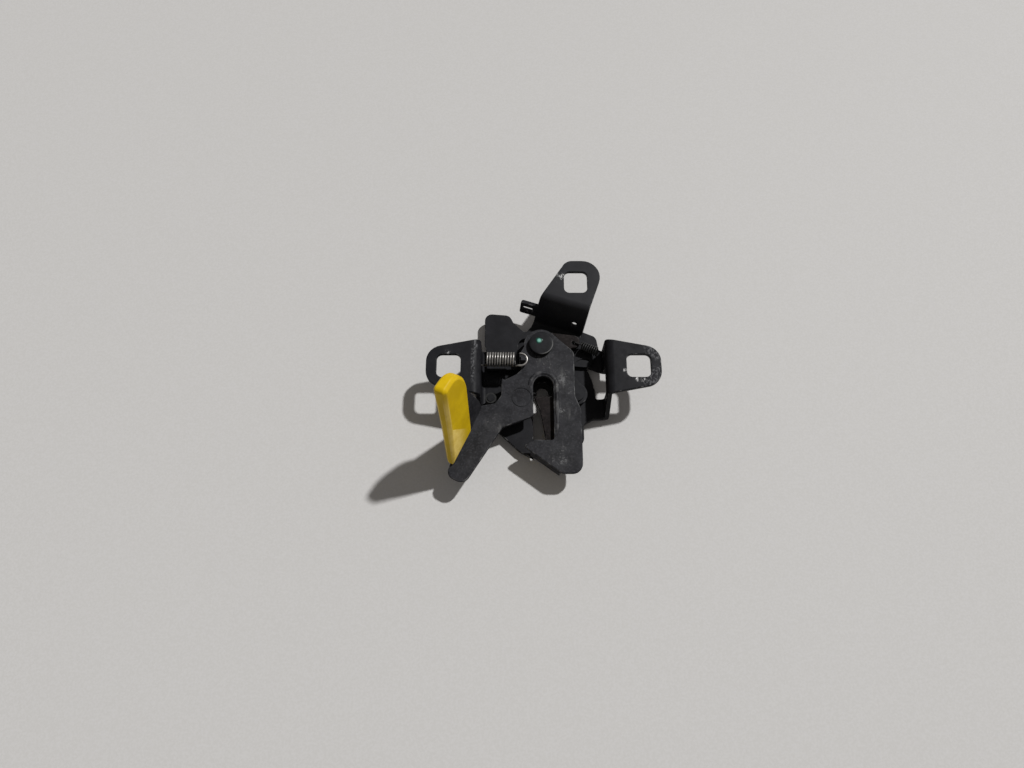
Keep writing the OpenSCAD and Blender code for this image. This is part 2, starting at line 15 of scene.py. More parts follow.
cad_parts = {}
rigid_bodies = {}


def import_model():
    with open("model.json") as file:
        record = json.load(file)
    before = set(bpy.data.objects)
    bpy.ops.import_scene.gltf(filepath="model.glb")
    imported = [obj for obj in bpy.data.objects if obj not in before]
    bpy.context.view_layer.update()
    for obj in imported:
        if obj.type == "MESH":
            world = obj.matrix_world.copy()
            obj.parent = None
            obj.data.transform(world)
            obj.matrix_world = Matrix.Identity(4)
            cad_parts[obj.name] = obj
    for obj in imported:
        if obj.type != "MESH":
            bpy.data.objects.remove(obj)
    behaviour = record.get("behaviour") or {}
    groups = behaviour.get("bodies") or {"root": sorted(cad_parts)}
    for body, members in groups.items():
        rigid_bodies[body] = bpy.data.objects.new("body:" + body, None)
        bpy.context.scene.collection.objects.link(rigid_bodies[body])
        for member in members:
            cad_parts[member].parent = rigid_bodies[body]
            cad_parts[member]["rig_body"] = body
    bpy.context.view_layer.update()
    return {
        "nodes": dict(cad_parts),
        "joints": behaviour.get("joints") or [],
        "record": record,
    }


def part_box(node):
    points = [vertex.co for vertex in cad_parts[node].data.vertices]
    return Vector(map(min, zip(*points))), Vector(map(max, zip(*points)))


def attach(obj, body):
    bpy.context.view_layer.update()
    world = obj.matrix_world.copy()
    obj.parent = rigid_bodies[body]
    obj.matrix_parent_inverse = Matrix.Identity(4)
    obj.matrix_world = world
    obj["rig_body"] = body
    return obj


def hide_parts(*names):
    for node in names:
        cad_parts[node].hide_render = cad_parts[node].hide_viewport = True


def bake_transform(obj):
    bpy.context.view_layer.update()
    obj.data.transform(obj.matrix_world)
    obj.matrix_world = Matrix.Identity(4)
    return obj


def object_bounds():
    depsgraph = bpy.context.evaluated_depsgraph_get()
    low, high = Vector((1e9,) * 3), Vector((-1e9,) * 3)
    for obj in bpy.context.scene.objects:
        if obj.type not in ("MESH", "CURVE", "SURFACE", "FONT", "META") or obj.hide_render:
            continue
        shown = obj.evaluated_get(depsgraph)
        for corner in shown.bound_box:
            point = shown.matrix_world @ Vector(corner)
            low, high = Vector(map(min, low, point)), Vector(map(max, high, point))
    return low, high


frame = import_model()
nodes = frame["nodes"]
MM = 0.001
X, Y, Z = Vector((1, 0, 0)), Vector((0, 1, 0)), Vector((0, 0, 1))
print("loaded", len(nodes), "nodes")

# %% [markdown]
# ## Camera first
# The camera stands where the photograph was taken from: in front of the latch, looking down on it.
# It could be set last, but set first it lets every later render be laid beside the photograph. Its
# focus is given in the photograph's pixels, so the lens follows from the width of the sensor.

# %% Camera
CAMERA_PLACE = Vector((-17.05, -151.2, 388.4)) * MM
CAMERA_PITCH = math.radians(20)
CAMERA_FOCUS = 770
PHOTO_WIDTH = 1024
SENSOR_WIDTH = 36
NEAREST_SEEN = 10 * MM

lens = bpy.data.cameras.new("camera")
lens.sensor_width = SENSOR_WIDTH
lens.lens = CAMERA_FOCUS / PHOTO_WIDTH * SENSOR_WIDTH
lens.clip_start = NEAREST_SEEN
camera = bpy.data.objects.new("camera", lens)
camera.location = CAMERA_PLACE
camera.rotation_euler = (CAMERA_PITCH, 0, 0)
bpy.context.scene.collection.objects.link(camera)
bpy.context.scene.camera = camera
print("camera lens", round(lens.lens, 2), "mm")

# %% [markdown]
# ## From a bmesh to a piece
# A new piece starts as a bmesh, whose operators can be called one after another without an editor.
# The first helper turns it into an object at the origin, rides it on its body and gives it its material.
# The second adds weighted normals, because plain smooth shading would bend the light on a large flat face
# towards the narrow rounded edges beside it.

# %% Helpers for pieces
FLAT_WEIGHT = 100


def make_piece(name, bm, material, body):
    """A smooth object from a finished bmesh, riding on a body."""
    mesh = bpy.data.meshes.new(name)
    bm.to_mesh(mesh)
    bm.free()
    mesh.polygons.foreach_set("use_smooth", [True] * len(mesh.polygons))
    piece = bpy.data.objects.new(name, mesh)
    bpy.context.scene.collection.objects.link(piece)
    mesh.materials.append(material)
    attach(piece, body)
    return piece


def keep_flats_flat(piece):
    """Smooth shading that leaves large flat faces flat beside narrow rounded edges."""
    weighted = piece.modifiers.new("flat faces", "WEIGHTED_NORMAL")
    weighted.weight = FLAT_WEIGHT
    weighted.keep_sharp = True


# %% [markdown]
# ## Finishes
# Each finish is a Principled shader. In most of them colour, gloss and a fine bump come from noise on
# Object coordinates, so the pattern stays on the piece when it moves. Two masks tell of use and light.
# An edge mask, stored in the mesh, marks what is rubbed first: rolled sheet edges, the bead, a rivet's
# rim, the grip's ridges and the outside of a spring's turns. On the sheets' rims it is wear. On the
# bead, the rivet's rim, the grip's ridges and the grip's lower facet it is partly wear and partly painted
# light, and on the spring it is painted highlight on the turns and painted shade between them. Round
# marks at chosen places show where bolts and other parts have rubbed; beside the lever's slot and on
# the rivet's rim they are partly painted highlight. A small class keeps the wiring of nodes short
# enough to read.

# %% Helpers for finishes
# This mask carries wear on the sheets, and painted highlight and shade on the wire, bead, rivet rim and
# grip.
WEAR_AND_SHINE_MASK = "edge_wear_and_shine"
BARE_STEEL = (0.36, 0.355, 0.35)
MARK_CORE = 0.35


class Finish:
    """A material being wired: a Principled shader and short calls that add nodes."""

    def __init__(self, name):
        self.material = bpy.data.materials.new(name)
        self.material.use_nodes = True
        self.tree = self.material.node_tree
        self.shader = self.tree.nodes["Principled BSDF"]
        self.place = self.tree.nodes.new("ShaderNodeTexCoord").outputs["Object"]

    def link(self, source, target):
        self.tree.links.new(source, target)

    def noise(self, scale, detail=4.0, roughness=0.6, stretch=(1, 1, 1)):
        """Noise with a scale in features per metre, as a value from 0 to 1."""
        mapping = self.tree.nodes.new("ShaderNodeMapping")
        mapping.inputs["Scale"].default_value = stretch
        self.link(self.place, mapping.inputs["Vector"])
        node = self.tree.nodes.new("ShaderNodeTexNoise")
        node.inputs["Scale"].default_value = scale
        node.inputs["Detail"].default_value = detail
        node.inputs["Roughness"].default_value = roughness
        self.link(mapping.outputs["Vector"], node.inputs["Vector"])
        return node.outputs["Fac"]

    def ramp(self, value, low, high, out_low=0.0, out_high=1.0):
        """A value taken from one range to another, and held at its ends."""
        node = self.tree.nodes.new("ShaderNodeMapRange")
        node.interpolation_type = "SMOOTHSTEP"
        self.link(value, node.inputs["Value"])
        node.inputs["From Min"].default_value = low
        node.inputs["From Max"].default_value = high
        node.inputs["To Min"].default_value = out_low
        node.inputs["To Max"].default_value = out_high
        return node.outputs["Result"]

    def math(self, operation, a, b):
        node = self.tree.nodes.new("ShaderNodeMath")
        node.operation = operation
        for socket, value in zip(node.inputs, (a, b)):
            if isinstance(value, (int, float)):
                socket.default_value = value
            else:
                self.link(value, socket)
        return node.outputs["Value"]

    def times(self, a, b):
        return self.math("MULTIPLY", a, b)

    def mix(self, factor, a, b):
        """A colour between two colours or colour sockets."""
        node = self.tree.nodes.new("ShaderNodeMix")
        node.data_type = "RGBA"
        self.link(factor, node.inputs[0])
        for socket, value in zip((node.inputs[6], node.inputs[7]), (a, b)):
            if isinstance(value, tuple):
                socket.default_value = (*value, 1)
            else:
                self.link(value, socket)
        return node.outputs[2]

    def near(self, centre, radius, scale=(1, 1, 1)):
        """1 at a point of the object, falling to 0 at a radius. A scale under 1 makes the mark longer."""
        scaled = self.tree.nodes.new("ShaderNodeVectorMath")
        scaled.operation = "MULTIPLY"
        self.link(self.place, scaled.inputs[0])
        scaled.inputs[1].default_value = scale
        node = self.tree.nodes.new("ShaderNodeVectorMath")
        node.operation = "DISTANCE"
        self.link(scaled.outputs["Vector"], node.inputs[0])
        node.inputs[1].default_value = Vector(centre) * Vector(scale)
        return self.ramp(node.outputs["Value"], radius, radius * MARK_CORE)

    def along(self, place, direction):
        """How far a place lies in a direction."""
        node = self.tree.nodes.new("ShaderNodeVectorMath")
        node.operation = "DOT_PRODUCT"
        self.link(place, node.inputs[0])
        node.inputs[1].default_value = direction
        return node.outputs["Value"]

    def edges(self):
        """The edge mask that the piece's mesh carries."""
        node = self.tree.nodes.new("ShaderNodeAttribute")
        node.attribute_name = WEAR_AND_SHINE_MASK
        return node.outputs["Fac"]

    def bump(self, height, strength, distance):
        node = self.tree.nodes.new("ShaderNodeBump")
        node.inputs["Strength"].default_value = strength
        node.inputs["Distance"].default_value = distance
        self.link(height, node.inputs["Height"])
        self.link(node.outputs["Normal"], self.shader.inputs["Normal"])

    def set(self, **sockets):
        """Plain values, or sockets, for the shader's inputs."""
        for name, value in sockets.items():
            socket = self.shader.inputs[name.replace("_", " ").title().replace("Ior", "IOR")]
            if hasattr(value, "is_linked"):
                self.link(value, socket)
            elif isinstance(value, tuple):
                socket.default_value = (*value, 1)
            else:
                socket.default_value = value


# %% [markdown]
# ## Black coat
# The bracket is dipped in a thin black coat: satin, nearly neutral and a little dusty. It is bare round
# the bolt holes and along the edges that have been knocked about. The left fold has rubbed to dull grey
# specks along its bend, and dust has settled on the top ear. Painting the wear by hand would take a
# texture for every sheet, so noise draws it, and it is let through only where a mask allows.

# %% Black coat
COAT_DARK = (0.0095, 0.0095, 0.0112)
COAT_LIGHT = (0.0155, 0.0155, 0.0178)
COAT_DUST = (0.06, 0.058, 0.056)
DUSTY_BLACK = (0.03, 0.03, 0.032)
DUSTY_SHARE = 0.6
DULL_GREY = (0.11, 0.11, 0.115)
CHIP_FADE = 0.11
BARE_METALLIC = 0.9


def black_coat(name, dust, edge_wear_and_shine, scuffs=(), rubs=(), dusty=()):
    """Satin black coat. Marks are given by centre and radius. A scuff adds the least noise that shows
    bare steel, and a rub adds the scale that draws it out."""
    f = Finish(name)
    mottle = f.ramp(f.noise(140), 0.35, 0.7)
    speckle = f.ramp(f.noise(1500, 2), 0.55, 0.75)
    tone = f.mix(mottle, COAT_DARK, COAT_LIGHT)
    tone = f.mix(f.times(speckle, dust), tone, COAT_DUST)
    for centre, radius in dusty:
        tone = f.mix(f.times(f.near(centre, radius), DUSTY_SHARE), tone, DUSTY_BLACK)
    scratch = f.noise(520, 5, 0.72, (1.0, 0.55, 1.0))
    rub_specks = f.ramp(f.noise(850, 5, 0.75, (1.0, 0.7, 1.0)), 0.48, 0.6)
    for centre, radius, scale in rubs:
        tone = f.mix(f.times(f.near(centre, radius, scale), rub_specks), tone, DULL_GREY)
    bare = f.times(f.edges(), f.ramp(f.noise(330, 3), 0.62 - 0.2 * edge_wear_and_shine, 0.78, 0, edge_wear_and_shine))
    for centre, radius, least in scuffs:
        chipped = f.ramp(scratch, least, least + CHIP_FADE)
        bare = f.math("MAXIMUM", bare, f.times(f.near(centre, radius), chipped))
    f.set(
        base_color=f.mix(bare, tone, BARE_STEEL),
        metallic=f.times(bare, BARE_METALLIC),
        roughness=f.ramp(f.noise(260), 0.3, 0.75, 0.46, 0.62),
        specular_ior_level=0.1,
    )
    f.bump(f.noise(2600, 3), 0.18, 0.08 * MM)
    return f.material


# %% [markdown]
# ## Wear on the ears
# A bolt's washer scuffs the coat round its hole, and the right ear has been rubbed all round its end.
# The marks are placed in millimetres from the middle of each bolt hole, so they follow the holes.

# %% Coats of the bracket and the release lever
holes = {m["name"]: Vector(m["pos_m"]) for m in frame["record"]["mounts"] if m["name"].endswith("_hole")}
EAR_TOP_Z = 2.5 * MM
DUST_REACH = 30 * MM
# A hole, then x, y and radius in millimetres, and for a scuff the least noise that shows bare steel.
EAR_SCUFFS = [
    ("right_hole", -7.4, -2.8, 1.6, 0.42), ("right_hole", -0.8, -7.6, 2.5, 0.48),
    ("right_hole", 1.6, -8.2, 1.9, 0.44), ("top_hole", -8, 4, 5.6, 0.53), ("left_hole", -0.6, 8, 1.8, 0.45),
]
EAR_RUBS = [
    ("right_hole", 6.5, -8.6, 6), ("right_hole", 10, -3.8, 5), ("right_hole", 7.2, 9.2, 5.5),
    ("right_hole", 10.4, 5.6, 4),
]
# The left fold's rubs: x, y and radius in millimetres, and a scale that makes the mark longer along Y.
FOLD_RUBS = [(-38.2, 1.5, 1.5, 0.09), (-36.9, 12.5, 2.0, 0.35)]


def beside(hole, x, y):
    """A place on an ear's face, in millimetres from the middle of its hole."""
    return Vector((holes[hole].x + x * MM, holes[hole].y + y * MM, EAR_TOP_Z))


scuffs = [(beside(hole, x, y), r * MM, least) for hole, x, y, r, least in EAR_SCUFFS]
rubs = [(beside(hole, x, y), r * MM, (1, 1, 1)) for hole, x, y, r in EAR_RUBS]
rubs += [(Vector((x * MM, y * MM, EAR_TOP_Z)), r * MM, (1, scale, 1)) for x, y, r, scale in FOLD_RUBS]
dusty = [(holes["top_hole"], DUST_REACH)]
coat = black_coat("black coat", dust=0.12, edge_wear_and_shine=0.55, scuffs=scuffs, rubs=rubs, dusty=dusty)
horn_coat = black_coat("release lever coat", dust=0.1, edge_wear_and_shine=0.35)
print("black coats made, with", len(scuffs), "scuffs and", len(rubs), "rubs")

# %% [markdown]
# ## Worn lever steel
# The safety lever and the catch have a thinner grey finish, mottled by dust. Rubbed places are lighter,
# with short streaks along the lever: on the nose and where the arm bends they are wear, and beside the
# slot they are partly wear and partly painted highlight. The same function makes both. The catch's
# tones are painted darker, as painted shade for the shade that it lies in under the lever and the flange.

# %% Worn lever steel
LEVER_DARK = (0.0095, 0.0095, 0.0113)
LEVER_LIGHT = (0.0215, 0.0215, 0.0245)
# The catch's two tones are painted dark, as painted shade.
CATCH_SHADE_DARK = (0.006, 0.0046, 0.0045)
CATCH_SHADE_LIGHT = (0.014, 0.0112, 0.011)
RUBBED_AND_SHINE_GREY = (0.12, 0.119, 0.118)
SCRATCHED_AND_SHINE_GREY = (0.13, 0.13, 0.132)
GRAIN_GAIN = 2.2
GRAIN_SHARE = 0.5
FACE_GAP = 0.1 * MM
LEVER_TOP_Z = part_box("head_washer")[0].z - FACE_GAP
# Marks on the lever's face: x, y and radius in millimetres. Those beside the slot are partly wear and
# partly painted highlight along a pressed line.
LEVER_RUBS_AND_SHINE = [(9, -4, 9), (13, -8, 8), (11, -22, 8), (2, 6, 8), (9, -48, 10), (-26, -29, 7)]
LEVER_SCRATCHES_AND_SHINE = [(10.3, -4.3, 3.4), (9.9, -22.4, 2.2), (10.2, -50, 3.2)]


def lever_steel(name, dark, light, edge_gain, sheen, rubs=(), scratches=()):
    """Thin grey finish, with rubbed and scratched places given as (centre, radius) pairs; a pair can paint
    highlight as well as wear.
    """
    f = Finish(name)
    cloud = f.ramp(f.noise(120, 6, 0.68), 0.36, 0.64)
    grain = f.ramp(f.noise(900, 4, 0.7), 0.48, 0.66)
    streak = f.ramp(f.noise(330, 5, 0.65, (1.0, 0.14, 1.0)), 0.52, 0.68, 0.05, 0.6)
    speck = f.ramp(f.noise(620, 4, 0.7), 0.56, 0.68, 0, 0.7)
    marks = f.math("MAXIMUM", streak, speck)
    tone = f.mix(cloud, dark, light)
    tone = f.mix(f.times(grain, GRAIN_SHARE), tone, tuple(GRAIN_GAIN * c for c in light))
    # Rubs and scratches lighten the lever: wear, and beside the slot also painted highlight.
    for centre, radius in rubs:
        tone = f.mix(f.times(f.near(centre, radius), marks), tone, RUBBED_AND_SHINE_GREY)
    chips = f.ramp(f.noise(900, 4, 0.75), 0.48, 0.58, 0.05, 0.85)
    for centre, radius in scratches:
        tone = f.mix(f.times(f.near(centre, radius), chips), tone, SCRATCHED_AND_SHINE_GREY)
    bare = f.times(f.edges(), f.ramp(f.noise(190, 3), 0.45, 0.68, 0.0, edge_gain))
    f.set(
        base_color=f.mix(bare, tone, BARE_STEEL),
        metallic=f.times(bare, 0.8),
        roughness=f.ramp(f.noise(180), 0.3, 0.7, 0.5, 0.68),
        specular_ior_level=sheen,
    )
    f.bump(f.noise(1900, 4), 0.25, 0.1 * MM)
    return f.material


def on_lever(marks):
    """Marks in millimetres, as places on the lever's face with their radius."""
    return [(Vector((x * MM, y * MM, LEVER_TOP_Z)), r * MM) for x, y, r in marks]


lever_grey = lever_steel("worn lever steel", LEVER_DARK, LEVER_LIGHT, edge_gain=0.28, sheen=0.15,
                         rubs=on_lever(LEVER_RUBS_AND_SHINE), scratches=on_lever(LEVER_SCRATCHES_AND_SHINE))
# The catch's steel is darkened as painted shade.
catch_shaded_steel = lever_steel("catch steel with painted shade", CATCH_SHADE_DARK, CATCH_SHADE_LIGHT, edge_gain=0.12, sheen=0.07)
print("lever steels made, with", len(LEVER_RUBS_AND_SHINE), "rubs")

# %% [markdown]
# ## Plain finishes
# Black wire, rivet steel, rubber, washers and the table need less: two tones in a noise pattern, a range
# of gloss and a fine bump. One helper serves them all, and each finish is made beside its piece.

# %% Helper for plain finishes
GLOSS_FINER = 1.7
BUMP_FINER = 6
FINE_BUMP = 0.06 * MM


def plain_finish(name, dark, light, rough, metallic=0.0, scale=300.0, bump=0.12, specular=0.3):
    """A finish with two tones in a noise pattern, a range of roughness and a fine bump."""
    f = Finish(name)
    f.set(
        base_color=f.mix(f.ramp(f.noise(scale), 0.35, 0.68), dark, light),
        metallic=metallic,
        roughness=f.ramp(f.noise(scale * GLOSS_FINER), 0.3, 0.7, *rough),
        specular_ior_level=specular,
    )
    f.bump(f.noise(scale * BUMP_FINER, 3), bump, FINE_BUMP)
    return f.material


# %% [markdown]
# ## Rounded sheet edges
# Blanking leaves a rolled edge on every sheet, and that thin line of light is what the eye reads as
# pressed steel. A Bevel modifier easily tangles on the long thin triangles of a CAD mesh. So each sheet
# is a merged copy of its solid, and only the rims of its broad faces are rounded. The broad faces are
# found by walking over smooth edges: they are the groups of faces that are wide for their rim.

# %% Find the broad faces
SHARP = math.radians(32)
BROAD = 1.6 * MM


def smooth_regions(bm):
    """Groups of faces that meet at smooth edges, in the order of the mesh."""
    seen = set()
    regions = []
    for seed in bm.faces:
        if seed in seen:
            continue
        seen.add(seed)
        region = [seed]
        for face in region:
            for edge in face.edges:
                if len(edge.link_faces) == 2 and edge.calc_face_angle(0) < SHARP:
                    fresh = [f for f in edge.link_faces if f not in seen]
                    seen.update(fresh)
                    region.extend(fresh)
        regions.append(region)
    return regions


def rim_of(region):
    """The edges round a region, each with its face inside and the face on its far side."""
    inside = set(region)
    rim = []
    for face in region:
        for edge in face.edges:
            far = [f for f in edge.link_faces if f not in inside]
            if far:
                rim.append((edge, face, far[0]))
    return rim


def is_broad(region):
    """Whether a region is wide for the length of its rim."""
    around = sum(edge.calc_length() for edge, near, far in rim_of(region))
    return sum(face.calc_area() for face in region) > BROAD * around


# %% [markdown]
# ## Rolling a rim
# Each broad face is inset twice, which leaves two narrow rings. The outer ring sinks down the cut edge
# and the inner one part of the way, so the three rows lie on a quarter circle. The rings get the edge
# mask, so the coat can wear there. A rim that meets a face too shallow to sink into is left sharp.

# %% Roll a rim
QUARTER = math.cos(math.pi / 4)


def place_key(point):
    return tuple(round(c / MM, 3) for c in point)


def rim_drops(region, width):
    """The direction in which each place on a rim may sink, by its place."""
    drops, kept = {}, set()
    for edge, face, far in rim_of(region):
        middle = (edge.verts[0].co + edge.verts[1].co) / 2
        below = (far.calc_center_median() - middle).dot(face.normal) < 0
        deep = far.calc_area() / edge.calc_length() > width
        for vert in edge.verts:
            key = place_key(vert.co)
            if below and deep:
                drops[key] = drops.get(key, Vector()) + face.normal
            else:
                kept.add(key)
    return {key: normal.normalized() for key, normal in drops.items() if key not in kept}


def round_rim(bm, region, width, mask):
    """Roll the rim of one broad face down into the cut edge beside it."""
    drops = rim_drops(region, width)
    rings = [bmesh.ops.inset_region(bm, faces=region, thickness=width * share, use_even_offset=False,
                                    use_boundary=True)["faces"] for share in (1 - QUARTER, QUARTER)]
    outer, inner = {}, {}
    for face in rings[0]:
        for edge in face.edges:
            ends = tuple(edge.verts)
            for near, far in (ends, ends[::-1]):
                drop = drops.get(place_key(near.co))
                if drop:
                    outer[near] = drop
                    if place_key(far.co) not in drops:
                        inner[far] = drop
    for vert, normal in outer.items():
        vert.co -= normal * width
    for vert, normal in inner.items():
        vert.co -= normal * width * (1 - QUARTER)
    rolled = set(outer) | set(inner)
    for face in rings[0] + rings[1]:
        if rolled.intersection(face.verts):
            face[mask] = 1.0
    return len(outer)


# %% [markdown]
# ## The four sheets
# The bracket, the safety lever, the release lever and the catch are all blanked from sheet, so one
# function rounds them in turn. The two that lie behind get a slightly smaller round.

# %% Round the sheets
CREASED = math.radians(50)
WELD = 0.002 * MM
SLIVER = 0.0001 * MM
FRONT_ROUND = 0.45 * MM
BACK_ROUND = 0.4 * MM


def rounded_sheet(node, width, material):
    """A copy of a CAD sheet with its broad faces' rims rounded, in the solid's place."""
    bm = bmesh.new()
    bm.from_mesh(nodes[node].data)
    mask = bm.faces.layers.float.new(WEAR_AND_SHINE_MASK)
    bmesh.ops.remove_doubles(bm, verts=bm.verts, dist=WELD)
    bmesh.ops.dissolve_degenerate(bm, dist=SLIVER, edges=bm.edges)
    bm.normal_update()
    broad = [region for region in smooth_regions(bm) if is_broad(region)]
    rounded = sum(round_rim(bm, region, width, mask) for region in broad)
    bm.normal_update()
    for edge in bm.edges:
        edge.smooth = edge.calc_face_angle(0) < CREASED
    piece = make_piece(node + "_sheet", bm, material, nodes[node]["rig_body"])
    keep_flats_flat(piece)
    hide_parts(node)
    print(node, "broad faces:", len(broad), "rim points:", rounded)


rounded_sheet("bracket", FRONT_ROUND, coat)
rounded_sheet("safety_lever", FRONT_ROUND, lever_grey)
rounded_sheet("release_lever", BACK_ROUND, horn_coat)
rounded_sheet("catch", BACK_ROUND, catch_shaded_steel)

# %% [markdown]
# ## Wire
# A pull spring is one wire: a leg, a close-wound coil and a hook. A row of rings would look alike from
# afar, but a curve through a computed helix is one unbroken wire with a true round section. It is made
# a mesh, so that it can stretch between the two bodies it joins.

# %% Helpers for wire
WIRE_ROUNDNESS = 3
STEPS_PER_TURN = 24
THIN_END = 0.6


def wire_mesh(name, path, diameter, material, fade=0):
    """A round wire along a path, as a mesh with no parent, thinner over a few points at each end."""
    curve = bpy.data.curves.new(name, "CURVE")
    curve.dimensions = "3D"
    curve.bevel_depth = diameter / 2
    curve.bevel_resolution = WIRE_ROUNDNESS
    curve.use_fill_caps = True
    spline = curve.splines.new("POLY")
    spline.points.add(len(path) - 1)
    for i, (point, place) in enumerate(zip(spline.points, path)):
        point.co = (*place, 1)
        if fade:
            point.radius = THIN_END + (1 - THIN_END) * min(1, min(i, len(path) - 1 - i) / fade)
    drawn = bpy.data.objects.new(name + "_line", curve)
    bpy.context.scene.collection.objects.link(drawn)
    bpy.context.view_layer.update()
    mesh = bpy.data.meshes.new_from_object(drawn.evaluated_get(bpy.context.evaluated_depsgraph_get()))
    bpy.data.objects.remove(drawn)
    bpy.data.curves.remove(curve)
    mesh.name = name
    mesh.materials.clear()
    mesh.materials.append(material)
    mesh.polygons.foreach_set("use_smooth", [True] * len(mesh.polygons))
    piece = bpy.data.objects.new(name, mesh)
    bpy.context.scene.collection.objects.link(piece)
    return piece


def bend(centre, u, v, radius, start, end, steps=10):
    """Points of an arc in the plane of two directions, between two angles in degrees."""
    angles = [math.radians(start + (end - start) * i / steps) for i in range(steps + 1)]
    return [centre + radius * (math.cos(a) * u + math.sin(a) * v) for a in angles]


def coil(start, along, side, up, length, turns, radius):
    """Points of a close-wound coil whose first point lies on its side direction."""
    steps = turns * STEPS_PER_TURN
    points = []
    for i in range(steps + 1):
        a = 2 * math.pi * i / STEPS_PER_TURN
        out = math.cos(a) * side + math.sin(a) * up
        points.append(start + along * (length * i / steps) + radius * out)
    return points


# %% [markdown]
# ## Bright wire
# The safety spring is bare wire. The outside of each turn is painted bright as painted highlight, and
# between the turns it is painted dark as painted shade. A bump could only hint at that, so the mesh
# itself carries the edge mask: it is set where a point lies far from the coil's axis, and the finish
# turns it into painted highlight.

# %% Bright wire
WIRE_DULL = (0.2, 0.19, 0.18)
WIRE_BRIGHT = (0.4, 0.388, 0.37)
# Painted shade between the turns of the coil.
WIRE_PAINTED_SHADE = (0.011, 0.0105, 0.01)


def wire_with_painted_light():
    """Bright wire where the edge mask is set, a painted highlight on the outside of the turns, and painted
    shade between them.
    """
    f = Finish("bright spring wire")
    shine = f.mix(f.ramp(f.noise(420), 0.35, 0.68), WIRE_DULL, WIRE_BRIGHT)
    crest_highlight = f.ramp(f.edges(), 0.3, 0.95)
    f.set(
        base_color=f.mix(crest_highlight, WIRE_PAINTED_SHADE, shine),
        metallic=f.times(crest_highlight, 0.8),
        roughness=f.ramp(f.noise(700), 0.3, 0.7, 0.32, 0.46),
        specular_ior_level=0.3,
    )
    return f.material


def mark_highlight_and_shade(piece, axis_y, axis_z, low_x, high_x, radius, wire):
    """The edge mask of a coil along X: set on the outside of its turns and on its straight ends, where the
    finish paints highlight.
    """
    mask = piece.data.attributes.new(WEAR_AND_SHINE_MASK, "FLOAT", "POINT")
    for vert, item in zip(piece.data.vertices, mask.data):
        reach = math.hypot(vert.co.y - axis_y, vert.co.z - axis_z)
        in_coil = low_x < vert.co.x < high_x
        item.value = max(0, (reach - radius) / (wire / 2)) if in_coil else 1


bright_wire = wire_with_painted_light()
print("bright wire made")

# %% [markdown]
# ## Safety spring
# It pulls the safety lever back towards the left flange. At its left end a leg bends down, and at its
# right end a hook turns round a peg of the lever. The path is worked out from the box of the solid that
# it replaces.

# %% Safety spring
SAFETY_WIRE = 1.2 * MM
SAFETY_COIL_R = 3.5 * MM
SAFETY_TURNS = 11
LEG_DROP = 3.2 * MM
LEG_BEND = 0.8 * MM
LEG_TO_COIL = 6.6 * MM
COIL_TO_HOOK = 3 * MM
HOOK_END = 100
HOOK_STEPS = 24
spring_low, spring_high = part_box("safety_spring")
axis_y = (spring_low.y + spring_high.y) / 2
axis_z = (spring_low.z + spring_high.z) / 2
leg_x = spring_low.x + SAFETY_WIRE / 2
hook_x = spring_high.x - SAFETY_WIRE / 2 - SAFETY_COIL_R
coil_x = leg_x + LEG_TO_COIL
coil_end_x = hook_x - COIL_TO_HOOK
coil_start = Vector((coil_x, axis_y, axis_z))
hook_centre = Vector((hook_x, axis_y, axis_z))
leg_corner = Vector((leg_x + LEG_BEND, axis_y - SAFETY_COIL_R, axis_z - LEG_BEND))
safety_path = [Vector((leg_x, leg_corner.y, axis_z - LEG_DROP))]
safety_path += bend(leg_corner, X, Z, LEG_BEND, 180, 90)
safety_path += coil(coil_start, X, -Y, Z, coil_end_x - coil_x, SAFETY_TURNS, SAFETY_COIL_R)
safety_path += bend(hook_centre, X, Y, SAFETY_COIL_R, -90, HOOK_END, HOOK_STEPS)
safety_spring = wire_mesh("safety_pull_spring", safety_path, SAFETY_WIRE, bright_wire)
mark_highlight_and_shade(safety_spring, axis_y, axis_z, coil_x, coil_end_x, SAFETY_COIL_R, SAFETY_WIRE)
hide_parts("safety_spring")
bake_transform(safety_spring)
print("safety spring points:", len(safety_path))

# %% [markdown]
# ## Catch spring
# A smaller black spring runs from the catch's tail to the right flange. It lies askew, so its path is
# built on the line between the two holes that it hooks into, with the same helpers.

# %% Catch spring
BLACK_WIRE_DARK = (0.006, 0.006, 0.006)
BLACK_WIRE_LIGHT = (0.02, 0.02, 0.02)
CATCH_WIRE = 1.0 * MM
CATCH_COIL_R = 2.3 * MM
CATCH_TURNS = 8
TAIL_HOLE = Vector((17.5, 18.8, 0)) * MM
FLANGE_HOLE = Vector((35.25, 12, 0)) * MM
TAIL_BEND = 1.0 * MM
TAIL_TO_COIL = 4.6 * MM
BOTH_LEADS = 9 * MM
LEG_REACH = 3.3 * MM
# Steps of the wire in millimetres: along and up from the coil's end, then back and down from the leg's.
LEAD_STEPS = [(1.4, 1.6), (2.4, 0.5)]
LEG_STEPS = [(0.5, 0), (0, 0.5), (0, 2.6)]
to_axis = Z * (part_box("catch_spring")[1].z - CATCH_COIL_R - CATCH_WIRE / 2)
tail_hole = TAIL_HOLE + to_axis
flange_hole = FLANGE_HOLE + to_axis
along = (flange_hole - tail_hole).normalized()
across = Z.cross(along)
span = (flange_hole - tail_hole).length
coil_start = tail_hole + along * TAIL_TO_COIL
coil_length = span - BOTH_LEADS
coil_stop = coil_start + along * coil_length
leg_end = flange_hole + along * LEG_REACH
tail_corner = tail_hole + along * TAIL_BEND + Z * (CATCH_COIL_R - TAIL_BEND)
catch_path = [tail_hole - Z * CATCH_COIL_R]
catch_path += bend(tail_corner, along, Z, TAIL_BEND, 180, 90)
catch_path += coil(coil_start, along, Z, across, coil_length, CATCH_TURNS, CATCH_COIL_R)
catch_path += [coil_stop + along * on * MM + Z * up * MM for on, up in LEAD_STEPS]
